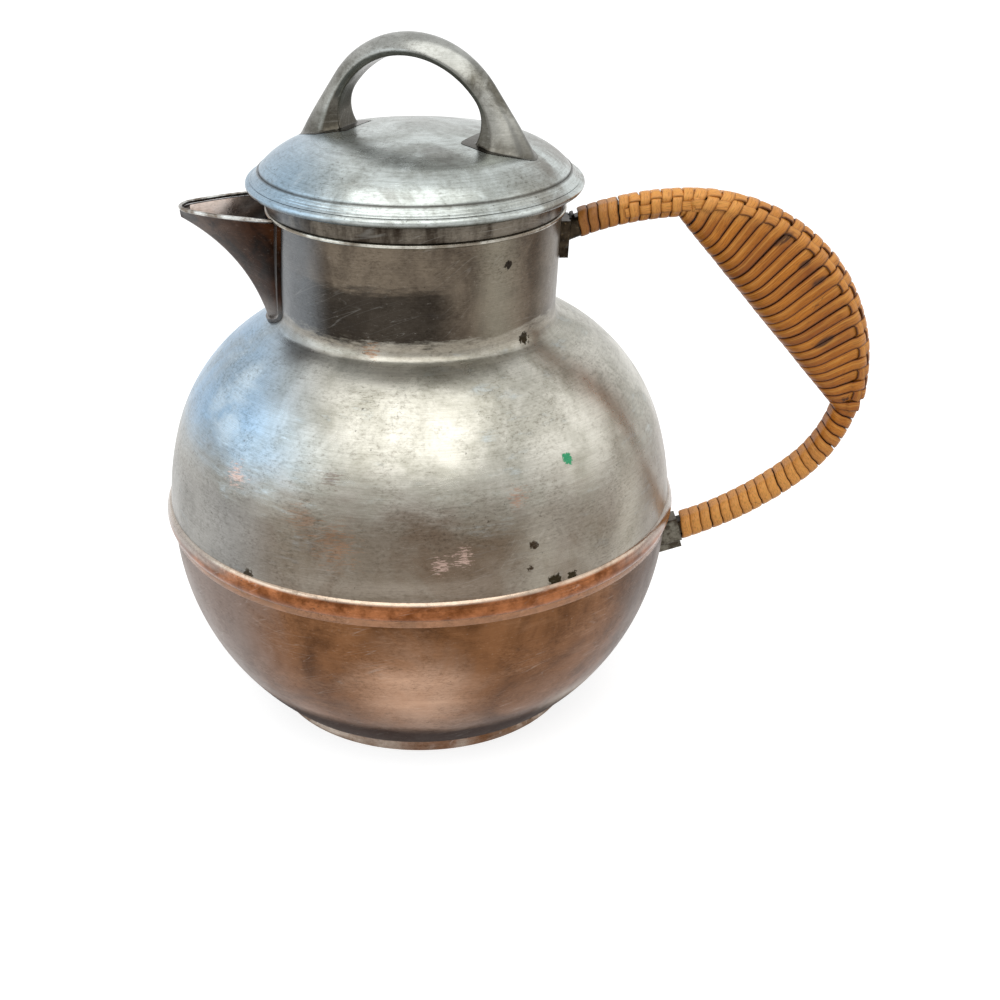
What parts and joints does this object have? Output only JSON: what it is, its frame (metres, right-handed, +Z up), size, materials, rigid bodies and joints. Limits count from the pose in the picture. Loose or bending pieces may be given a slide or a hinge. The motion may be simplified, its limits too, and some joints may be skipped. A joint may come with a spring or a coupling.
{
  "type": "tea kettle",
  "caption": "Covered hot-water jug with a globe body, beak spout, lift-off domed lid with a strap handle, and a cane-wrapped hoop handle",
  "frame": {"origin": "On the jug's axis, at the underside of the foot ring", "axes": "+Z up, the spout points along -X, the hoop handle along +X"},
  "size_m": [0.2293, 0.167, 0.218],
  "materials": {
    "silver_plate": "worn silver plate, brushed and tarnished",
    "bare_copper": "copper showing where the plate is worn away",
    "dark_brass": "dark tarnish",
    "grip_wood": "plain",
    "cane": "varnished flat cane strand"
  },
  "bodies": {
    "kettle_body": {"lower_bowl": "bare_copper", "upper_shell": "silver_plate", "belly_band": "bare_copper", "foot_ring": "silver_plate", "neck_rim_band": "silver_plate", "neck_bead": "silver_plate", "spout_body": "bare_copper", "spout_lip_wire": "silver_plate", "upper_bracket": "dark_brass", "upper_ferrule": "dark_brass", "handle_hoop": "dark_brass", "grip_core": "grip_wood", "cane_wrap_upper": "cane", "cane_wrap_grip": "cane", "cane_wrap_lower": "cane", "lower_bracket": "dark_brass", "lower_stub": "dark_brass"},
    "lid": {"lid_dome": "silver_plate", "lid_edge_wire": "silver_plate", "lid_collar": "silver_plate", "lid_handle": "silver_plate"}
  },
  "joints": [
    {"name": "lid_lift", "type": "slide", "parent": "kettle_body", "child": "lid", "axis": [0, 0, 1], "range_m": [0, 0.06]}
  ]
}
